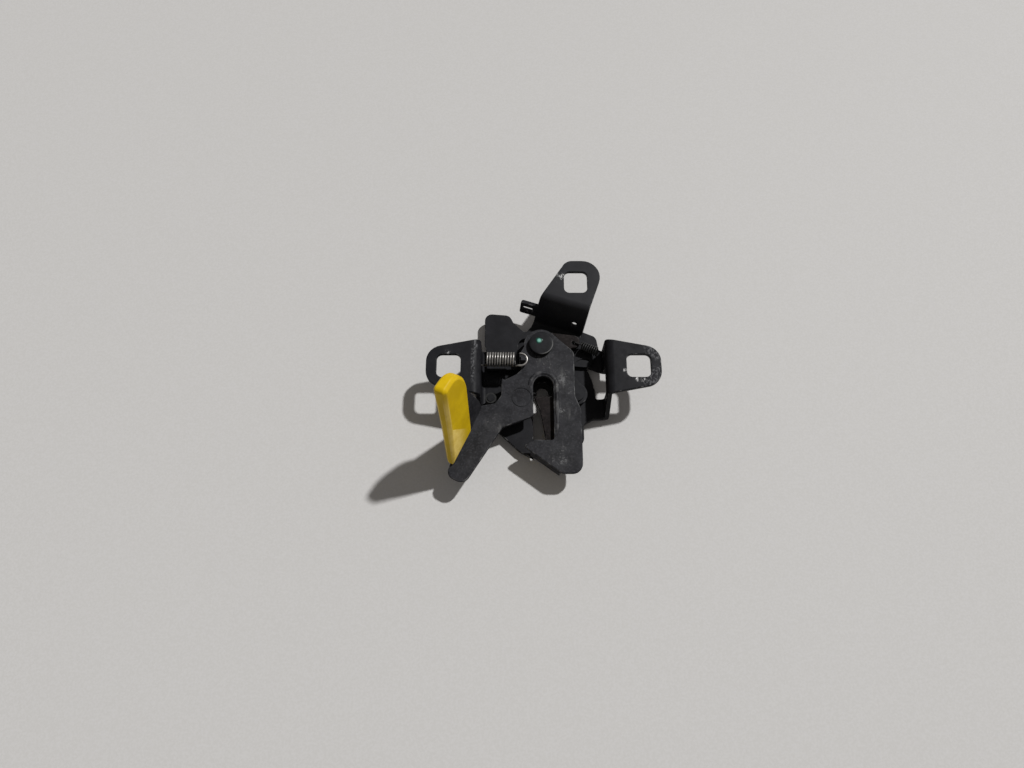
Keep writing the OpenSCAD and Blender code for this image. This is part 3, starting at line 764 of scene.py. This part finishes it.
catch_path.append(flange_hole - along * MM)
catch_path += [leg_end - along * back * MM - Z * down * MM for back, down in LEG_STEPS]
black_wire = plain_finish("black spring wire", BLACK_WIRE_DARK, BLACK_WIRE_LIGHT, (0.3, 0.5), metallic=0.2,
                          scale=420)
catch_spring = wire_mesh("catch_pull_spring", catch_path, CATCH_WIRE, black_wire)
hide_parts("catch_spring")
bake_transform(catch_spring)
print("catch spring span", round(span / MM, 1), "mm")

# %% [markdown]
# ## Bead beside the striker slot
# A rolled bead stiffens the lever round the head of its slot and down its right side. Raising it out of
# the sheet's own mesh would take a cut along its whole length. It is a round bar instead, which lies deep
# in the sheet, so that only a low ridge stands out, and it thins towards both ends.

# %% Bead
BEAD_R = 1.4 * MM
BEAD_RISE = 0.55 * MM
# The bead is painted lighter, partly as wear and partly as painted highlight.
BEAD_SHINE_AND_RUB = 0.6
BEAD_OFFSET = 1.9 * MM
BEAD_FOOT = -38.5 * MM
BEAD_START = 195
BEAD_FADE = 4
SLOT_HALF = 5.5 * MM
SLOT_END = Vector((0, -8, 0)) * MM
ROUND_STEPS = 24
STRAIGHT_STEPS = 8
bead_centre = SLOT_END + Z * (LEVER_TOP_Z + BEAD_RISE - BEAD_R)
bead_reach = SLOT_HALF + BEAD_OFFSET
bead_path = bend(bead_centre, X, Y, bead_reach, BEAD_START, 0, ROUND_STEPS)
for step in range(1, STRAIGHT_STEPS + 1):
    bead_path.append(bead_centre + X * bead_reach + Y * (BEAD_FOOT - SLOT_END.y) * step / STRAIGHT_STEPS)
bead = wire_mesh("slot_bead", bead_path, 2 * BEAD_R, lever_grey, fade=BEAD_FADE)
# The whole bead carries part of the mask: partly wear and partly painted highlight.
bead_shine_and_rub = bead.data.attributes.new(WEAR_AND_SHINE_MASK, "FLOAT", "FACE")
bead_shine_and_rub.data.foreach_set("value", [BEAD_SHINE_AND_RUB] * len(bead.data.polygons))
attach(bead, "safety")
print("bead points:", len(bead_path))

# %% [markdown]
# ## Turned pieces
# A rivet is turned: every section across its axis is a circle. A stack of cylinders would leave seams at
# each step, so a half profile is spun once round the axis, and its corners are bevelled.

# %% Helper for turned pieces
SPIN_STEPS = 64
SPIN_WELD = 0.001 * MM
TURNED_CORNER = math.radians(40)
BEVEL_STEPS = 3


def turned(name, centre, profile, material, body, rounding):
    """A turned piece from half-profile points (radius, height), with its edges rounded."""
    bm = bmesh.new()
    mask = bm.faces.layers.float.new(WEAR_AND_SHINE_MASK)
    verts = [bm.verts.new((centre.x + r, centre.y, z)) for r, z in profile]
    edges = [bm.edges.new(pair) for pair in zip(verts, verts[1:])]
    bmesh.ops.spin(bm, geom=verts + edges, cent=(centre.x, centre.y, 0), axis=(0, 0, 1),
                   angle=2 * math.pi, steps=SPIN_STEPS, use_merge=True)
    bmesh.ops.remove_doubles(bm, verts=bm.verts, dist=SPIN_WELD)
    bmesh.ops.recalc_face_normals(bm, faces=bm.faces)
    sharp = [e for e in bm.edges if len(e.link_faces) == 2 and e.calc_face_angle(0) > TURNED_CORNER]
    rounds = bmesh.ops.bevel(bm, geom=sharp, offset=rounding, offset_type="OFFSET", segments=BEVEL_STEPS,
                             profile=0.5, affect="EDGES", clamp_overlap=True, material=-1)
    for face in rounds["faces"]:
        face[mask] = 1.0
    piece = make_piece(name, bm, material, body)
    keep_flats_flat(piece)
    return piece


# %% [markdown]
# ## Rivet steel
# The rivets are of dull, dark steel, almost without shine. The main rivet's rim is lighter grey at the
# lower right, partly rubbed and partly a painted highlight. A second material on part of the rim would
# end in a hard line, so the mark is round and shows only through the edge mask, and it fades by itself.

# %% Rivet steel
RIVET_DARK = (0.008, 0.0082, 0.0095)
RIVET_LIGHT = (0.015, 0.0154, 0.0175)
RIVET_ROUGH = (0.42, 0.58)
RIVET_SHEEN = 0.1
RIVET_GRAIN = 240
# Where the rim is lighter: partly wear, partly painted highlight.
RIM_SHINE_AND_RUB = Vector((0.75, -0.66, 0))
RIM_SHINE_AND_RUB_R = 8 * MM


def head_with_shine_and_rub(rim_place):
    """Rivet steel whose rim is lighter grey round one place, partly rub and partly painted highlight."""
    f = Finish("rivet head steel")
    tone = f.mix(f.ramp(f.noise(RIVET_GRAIN), 0.35, 0.68), RIVET_DARK, RIVET_LIGHT)
    rim_shine_and_rub = f.times(f.edges(), f.near(rim_place, RIM_SHINE_AND_RUB_R))
    f.set(
        base_color=f.mix(rim_shine_and_rub, tone, RUBBED_AND_SHINE_GREY),
        roughness=f.ramp(f.noise(410), 0.3, 0.7, *RIVET_ROUGH),
        specular_ior_level=RIVET_SHEEN,
    )
    f.bump(f.noise(RIVET_GRAIN * BUMP_FINER, 3), 0.12, FINE_BUMP)
    return f.material


# %% [markdown]
# ## Main rivet
# The safety lever and the catch turn on the main rivet. Its head has a faint dome and a rounded rim. A
# disc would do for the head alone, but the whole rivet is turned, so it looks right from behind too. Its
# two ends and its head's radius come from the solid that it replaces, its shoulder's height from the
# sleeve, and its axis from the safety lever's joint.

# %% Main rivet
MAIN_PIVOT = next(Vector(j["pos_m"]) for j in frame["joints"] if j["name"] == "safety_swing")
TAIL_H = 2.5 * MM
TAIL_R = 6.2 * MM
HEAD_H = 2.5 * MM
SHANK_R = 4 * MM
SHOULDER_R = 5 * MM
RIVET_ROUND = 0.5 * MM
DOME = 0.2 * MM
# The dome's profile, as shares of the head's radius and of the dome's height below its top.
DOME_PROFILE = [(1, 1), (0.82, 0.4), (0.5, 0.1), (0, 0)]
rivet_low, rivet_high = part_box("main_rivet")
head_r = (rivet_high.x - rivet_low.x) / 2
head_z = rivet_high.z - HEAD_H
web_back_z = rivet_low.z + TAIL_H
shoulder_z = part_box("pivot_sleeve")[1].z
main_profile = [
    (0, rivet_low.z), (TAIL_R, rivet_low.z), (TAIL_R, web_back_z), (SHANK_R, web_back_z),
    (SHANK_R, shoulder_z), (SHOULDER_R, shoulder_z), (SHOULDER_R, head_z), (head_r, head_z)]
main_profile += [(head_r * share, rivet_high.z - DOME * fall) for share, fall in DOME_PROFILE]
head_top = Vector((MAIN_PIVOT.x, MAIN_PIVOT.y, rivet_high.z))
head_steel = head_with_shine_and_rub(head_top + RIM_SHINE_AND_RUB * head_r)
main_rivet = turned("main_rivet_turned", MAIN_PIVOT, main_profile, head_steel, "frame",
                    RIVET_ROUND)
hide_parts("main_rivet")
print("main rivet turned, head radius", round(head_r / MM, 2), "mm")

# %% [markdown]
# ## Paint dab
# The rivet's head carries a dab of green paint, as is put on after an inspection. A spot in the rivet's
# material would lie flat, but real paint stands up in a drop with a ragged rim. So it is a ball, flattened
# and sunk in the head, whose outline two slow waves make uneven. It is pale where the paint is thick.

# %% Paint dab
DAB_OFFSET = Vector((-1.1, 1.3, 0)) * MM
DAB_SIZE = Vector((2.0, 1.9, 0.3)) * MM
DAB_SINK = 0.6 * DOME
DAB_PALE_R = 1.5 * MM
PAINT_RIM = (0.002, 0.04, 0.027)
PAINT_MIDDLE = (0.18, 0.44, 0.36)
BALL_LEVEL = 4
# Waves round the dab: height, number and phase.
DAB_WAVES = [(0.1, 3, 0.7), (0.05, 5, 0)]
dab_centre = head_top - Z * DAB_SINK + DAB_OFFSET
paint = Finish("inspection paint")
paint.set(
    base_color=paint.mix(paint.near(dab_centre, DAB_PALE_R), PAINT_RIM, PAINT_MIDDLE),
    roughness=0.4,
    specular_ior_level=0.25,
)
bm = bmesh.new()
bmesh.ops.create_icosphere(bm, subdivisions=BALL_LEVEL, radius=1)
for vert in bm.verts:
    angle = math.atan2(vert.co.y, vert.co.x)
    ragged = 1 + sum(height * math.sin(number * angle + phase) for height, number, phase in DAB_WAVES)
    vert.co.x *= ragged
    vert.co.y *= ragged
dab_place = Matrix.Translation(dab_centre) @ Matrix.Diagonal((*DAB_SIZE, 1))
bmesh.ops.transform(bm, matrix=dab_place, verts=bm.verts)
make_piece("paint_dab", bm, paint.material, "frame")
print("paint dab", [round(c / MM, 1) for c in DAB_SIZE * 2], "mm")

# %% [markdown]
# ## Yellow plastic
# The grip is a moulded yellow plastic with soft grime and pale scratches. It is pale along the ridge that
# runs up from its foot, partly rubbed by fingers, partly a painted highlight on the ridges and painted
# light on the facet below the crease. Plain distance in the object would not follow that slanted ridge,
# so a Mapping node turns the place into the tab's own frame, where the pale fades with the distance from
# the ridge and stops short of the top.

# %% Yellow plastic
GRIP_DEEP = (0.545, 0.36, 0.002)
GRIP_YELLOW = (0.65, 0.44, 0.003)
GRIP_GRIME = (0.23, 0.14, 0.02)
GRIP_SCRATCH = (0.8, 0.62, 0.16)
GRIP_PALE_AND_LIT = (0.88, 0.66, 0.19)
PALE_FULL = 4 * MM
PALE_REACH = 16 * MM
PALE_TOP = 53 * MM
PALE_FADE = 12 * MM


def grip_plastic(tab_frame, ridge_foot, ridge_top):
    """Moulded yellow plastic with grime, pale scratches, and a pale mark, partly rub and partly painted
    light, that fades away from its ridge.
    """
    f = Finish("yellow grip plastic")
    tone = f.mix(f.ramp(f.noise(75, 5), 0.36, 0.66), GRIP_DEEP, GRIP_YELLOW)
    grime = f.ramp(f.noise(420, 6, 0.7), 0.6, 0.78)
    tone = f.mix(f.times(grime, 0.45), tone, GRIP_GRIME)
    scratch = f.ramp(f.noise(300, 5, 0.7, (1.0, 1.0, 0.12)), 0.66, 0.76)
    tone = f.mix(f.times(scratch, 0.3), tone, GRIP_SCRATCH)
    in_tab = f.tree.nodes.new("ShaderNodeMapping")
    in_tab.vector_type = "TEXTURE"
    in_tab.inputs["Location"].default_value = tab_frame @ ridge_foot
    in_tab.inputs["Rotation"].default_value = tab_frame.to_euler()
    f.link(f.place, in_tab.inputs["Vector"])
    away = (ridge_top - ridge_foot).normalized().cross(Z)
    beside_ridge = f.ramp(f.along(in_tab.outputs["Vector"], away), PALE_REACH, PALE_FULL)
    below_top = f.ramp(f.along(in_tab.outputs["Vector"], Y), PALE_TOP, PALE_TOP - PALE_FADE)
    rubbed_and_lit = f.times(f.edges(), f.ramp(f.noise(260, 5, 0.7), 0.3, 0.62, 0.5, 0.95))
    tone = f.mix(f.times(rubbed_and_lit, f.times(beside_ridge, below_top)), tone, GRIP_PALE_AND_LIT)
    f.set(base_color=tone, roughness=f.ramp(f.noise(200), 0.3, 0.7, 0.42, 0.56), specular_ior_level=0.2)
    f.bump(f.noise(1500, 4), 0.16, 0.1 * MM)
    return f.material


# %% [markdown]
# ## Grip: the core
# The grip is moulded over the lever's tab, which stands up from a fold and leans. It is easiest to draw
# flat, in the tab's own frame: five corners, three of them rounded, are extruded to the core. Then both
# faces are inset and raised, which leaves the sloping flanks that the thumb feels.

# %% Grip core
LEVER_LOW_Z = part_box("catch_washer")[1].z + FACE_GAP
LEVER_T = LEVER_TOP_Z - LEVER_LOW_Z
FOLD = Vector((-49.7, -52.0, 0)) * MM
FOLD_ANGLE = math.radians(66)
TAB_LEAN = math.radians(11)
GRIP_T = 6.5 * MM
FLANK = 1.6 * MM
CORE_T = GRIP_T - 2 * FLANK
# Across the tab, up it, and the corner's radius, in millimetres.
GRIP_CORNERS = [(0, 3.2, 0), (21, 4.4, 0), (34.4, 42, 5.0), (30.5, 56, 5.0), (18.5, 59, 2.5)]
CORNER_STEPS = 4
FACING = 0.9
tab_frame = (Matrix.Translation(FOLD + Z * LEVER_LOW_Z) @ Matrix.Rotation(FOLD_ANGLE, 4, "Z")
             @ Matrix.Rotation(math.pi / 2 - TAB_LEAN, 4, "X"))
bm = bmesh.new()
mask = bm.faces.layers.float.new(WEAR_AND_SHINE_MASK)
corners = [bm.verts.new((s * MM, t * MM, (LEVER_T - CORE_T) / 2)) for s, t, r in GRIP_CORNERS]
bm.faces.new(corners)
for vert, (s, t, r) in zip(corners, GRIP_CORNERS):
    if r:
        bmesh.ops.bevel(bm, geom=[vert], offset=r * MM, offset_type="OFFSET", segments=CORNER_STEPS,
                        profile=0.5, affect="VERTICES", clamp_overlap=True, material=-1)
core = bmesh.ops.extrude_face_region(bm, geom=list(bm.faces))
raised = [v for v in core["geom"] if isinstance(v, bmesh.types.BMVert)]
bmesh.ops.translate(bm, vec=(0, 0, CORE_T), verts=raised)
bmesh.ops.recalc_face_normals(bm, faces=bm.faces)
for end in [f for f in bm.faces if abs(f.normal.z) > FACING]:
    bmesh.ops.inset_region(bm, faces=[end], thickness=FLANK, depth=FLANK, use_even_offset=True)
print("grip core faces:", len(bm.faces))

# %% [markdown]
# ## Grip: the crease
# A crease crosses the face that looks at the latch. Below it the grip thins towards its foot, and that
# facet is painted pale, partly as rub and partly as painted light, since the shallow crease would barely
# change its shading. A cut along the crease gives the points that the facet needs, and those below it
# sink towards the tab. A small knuckle swells out of the back near the top.

# %% Grip crease
CREASE_LEFT = Vector((9.4, 31.7, 0)) * MM
CREASE_RIGHT = Vector((23.5, 4.0, 0)) * MM
THIN_SHARE = 0.8
THIN_FLOOR = LEVER_T + FACE_GAP
KNUCKLE_T = 51 * MM
KNUCKLE_OUT = 1.4 * MM
KNUCKLE_REACH = 8 * MM
crease = (CREASE_RIGHT - CREASE_LEFT).normalized()
above = Z.cross(crease)
everything = bm.verts[:] + bm.edges[:] + bm.faces[:]
bmesh.ops.bisect_plane(bm, geom=everything, plane_co=CREASE_LEFT, plane_no=above)
bm.normal_update()
foot_depth = max((CREASE_LEFT - v.co).dot(above) for v in bm.verts)
# The facet below the crease is marked pale: partly rub, partly painted light.
for face in bm.faces:
    if face.normal.z > FACING and (CREASE_LEFT - face.calc_center_median()).dot(above) > 0:
        face[mask] = 1.0
for vert in bm.verts:
    depth = (CREASE_LEFT - vert.co).dot(above)
    if vert.co.z > LEVER_T and depth > 0:
        vert.co.z = THIN_FLOOR + (vert.co.z - THIN_FLOOR) * (1 - THIN_SHARE * depth / foot_depth)
    if vert.co.z < 0 and vert.co.y > KNUCKLE_T:
        vert.co.z -= KNUCKLE_OUT * min(1, (vert.co.y - KNUCKLE_T) / KNUCKLE_REACH)
print("grip thins over", round(foot_depth / MM, 1), "mm")

# %% [markdown]
# ## Grip: the ridges
# A moulded edge is never sharp, so every ridge is bevelled round. The rounds and the sloping flanks get
# part of the edge mask, as rub and as painted highlight, and last the whole grip is put in its place.

# %% Grip ridges
RIDGE_ANGLE = math.radians(20)
RIDGE_ROUND = 1.0 * MM
RIDGE_RUB_AND_LIGHT = 0.7
FLAT = 0.98
SLOPED = 0.3
ridges = [e for e in bm.edges if len(e.link_faces) == 2 and e.calc_face_angle(0) > RIDGE_ANGLE]
rounds = bmesh.ops.bevel(bm, geom=ridges, offset=RIDGE_ROUND, offset_type="OFFSET", segments=BEVEL_STEPS,
                         profile=0.5, affect="EDGES", clamp_overlap=True, material=-1)
bm.normal_update()
# Ridges and flanks are marked pale: partly rub, partly painted highlight.
for face in bm.faces:
    if face.normal.z < FLAT and (face.normal.z > SLOPED or face in rounds["faces"]):
        face[mask] = max(face[mask], RIDGE_RUB_AND_LIGHT)
bmesh.ops.transform(bm, matrix=tab_frame, verts=bm.verts)
ridge_foot = Vector((*GRIP_CORNERS[0][:2], 0)) * MM
yellow = grip_plastic(tab_frame, ridge_foot, CREASE_LEFT)
grip = make_piece("finger_grip", bm, yellow, "safety")
keep_flats_flat(grip)
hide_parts("safety_grip")
print("grip faces:", len(grip.data.polygons))

# %% [markdown]
# ## Pieces that keep their solids
# Pins, washers and sleeves have the right shape already, so they only take a finish: rivet steel, matt
# black rubber on the stop and in the slot's end, and a tan plastic for the washer under the lever.

# %% Solid pieces
RUBBER_DARK = (0.009, 0.009, 0.009)
RUBBER_LIGHT = (0.016, 0.016, 0.016)
WASHER_DARK = (0.3, 0.28, 0.22)
WASHER_LIGHT = (0.4, 0.37, 0.3)
rivet_steel = plain_finish("rivet steel", RIVET_DARK, RIVET_LIGHT, RIVET_ROUGH, scale=RIVET_GRAIN,
                           specular=RIVET_SHEEN)
rubber = plain_finish("stop rubber", RUBBER_DARK, RUBBER_LIGHT, (0.65, 0.85), scale=500)
washer_plastic = plain_finish("washer plastic", WASHER_DARK, WASHER_LIGHT, (0.45, 0.6))
SOLID_FINISHES = {
    "slot_buffer": rubber, "stop_sleeve": rubber, "pivot_sleeve": rivet_steel, "head_washer": rivet_steel,
    "catch_washer": washer_plastic, "release_rivet": rivet_steel, "release_pin": rivet_steel,
    "stop_pin": rivet_steel,
}
for name, finish in SOLID_FINISHES.items():
    nodes[name].data.materials.clear()
    nodes[name].data.materials.append(finish)
print("solids finished:", len(SOLID_FINISHES))

# %% [markdown]
# ## Table
# The latch lies on a pale, matt table. One flat face at the height of the latch's lowest point is enough.
# It is so large that its edge is far outside the photograph's view, and from low down it is a horizon.

# %% Table
TABLE_HALF = 8
TABLE_DARK = (0.53, 0.52, 0.505)
TABLE_LIGHT = (0.56, 0.55, 0.54)
table_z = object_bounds()[0][2]
bm = bmesh.new()
bmesh.ops.create_grid(bm, x_segments=1, y_segments=1, size=TABLE_HALF)
bmesh.ops.translate(bm, vec=(0, 0, table_z), verts=bm.verts)
table_mesh = bpy.data.meshes.new("table")
bm.to_mesh(table_mesh)
bm.free()
table = bpy.data.objects.new("table", table_mesh)
table_mesh.materials.append(
    plain_finish("pale table", TABLE_DARK, TABLE_LIGHT, (0.6, 0.8), scale=900, bump=0.05))
bpy.context.scene.collection.objects.link(table)
print("table at", round(table_z / MM, 1), "mm")

# %% [markdown]
# ## Light
# One small lamp stands high on the right and behind, which gives the crisp shadow to the lower left. An
# area lamp would have to be far away to throw shadows so even, so it is a sun with a small angle. A soft,
# slightly warm surround fills what it doesn't reach.

# %% Light
LAMP_DIRECTION = Vector((0.6, 0.54, 1.0))
LAMP_STRENGTH = 3.25
LAMP_ANGLE = math.radians(2.5)
SURROUND = 0.2
SURROUND_COLOUR = (1.0, 0.96, 0.93, 1)
lamp = bpy.data.lights.new("lamp", "SUN")
lamp.energy = LAMP_STRENGTH
lamp.angle = LAMP_ANGLE
lamp_object = bpy.data.objects.new("lamp", lamp)
lamp_object.rotation_euler = LAMP_DIRECTION.to_track_quat("Z", "Y").to_euler()
bpy.context.scene.collection.objects.link(lamp_object)

world = bpy.data.worlds.new("surround")
world.use_nodes = True
background = world.node_tree.nodes["Background"]
background.inputs["Color"].default_value = SURROUND_COLOUR
background.inputs["Strength"].default_value = SURROUND
bpy.context.scene.world = world
bpy.context.scene.view_settings.view_transform = "Standard"
print("lamp strength", LAMP_STRENGTH, "surround", SURROUND)

# %% [markdown]
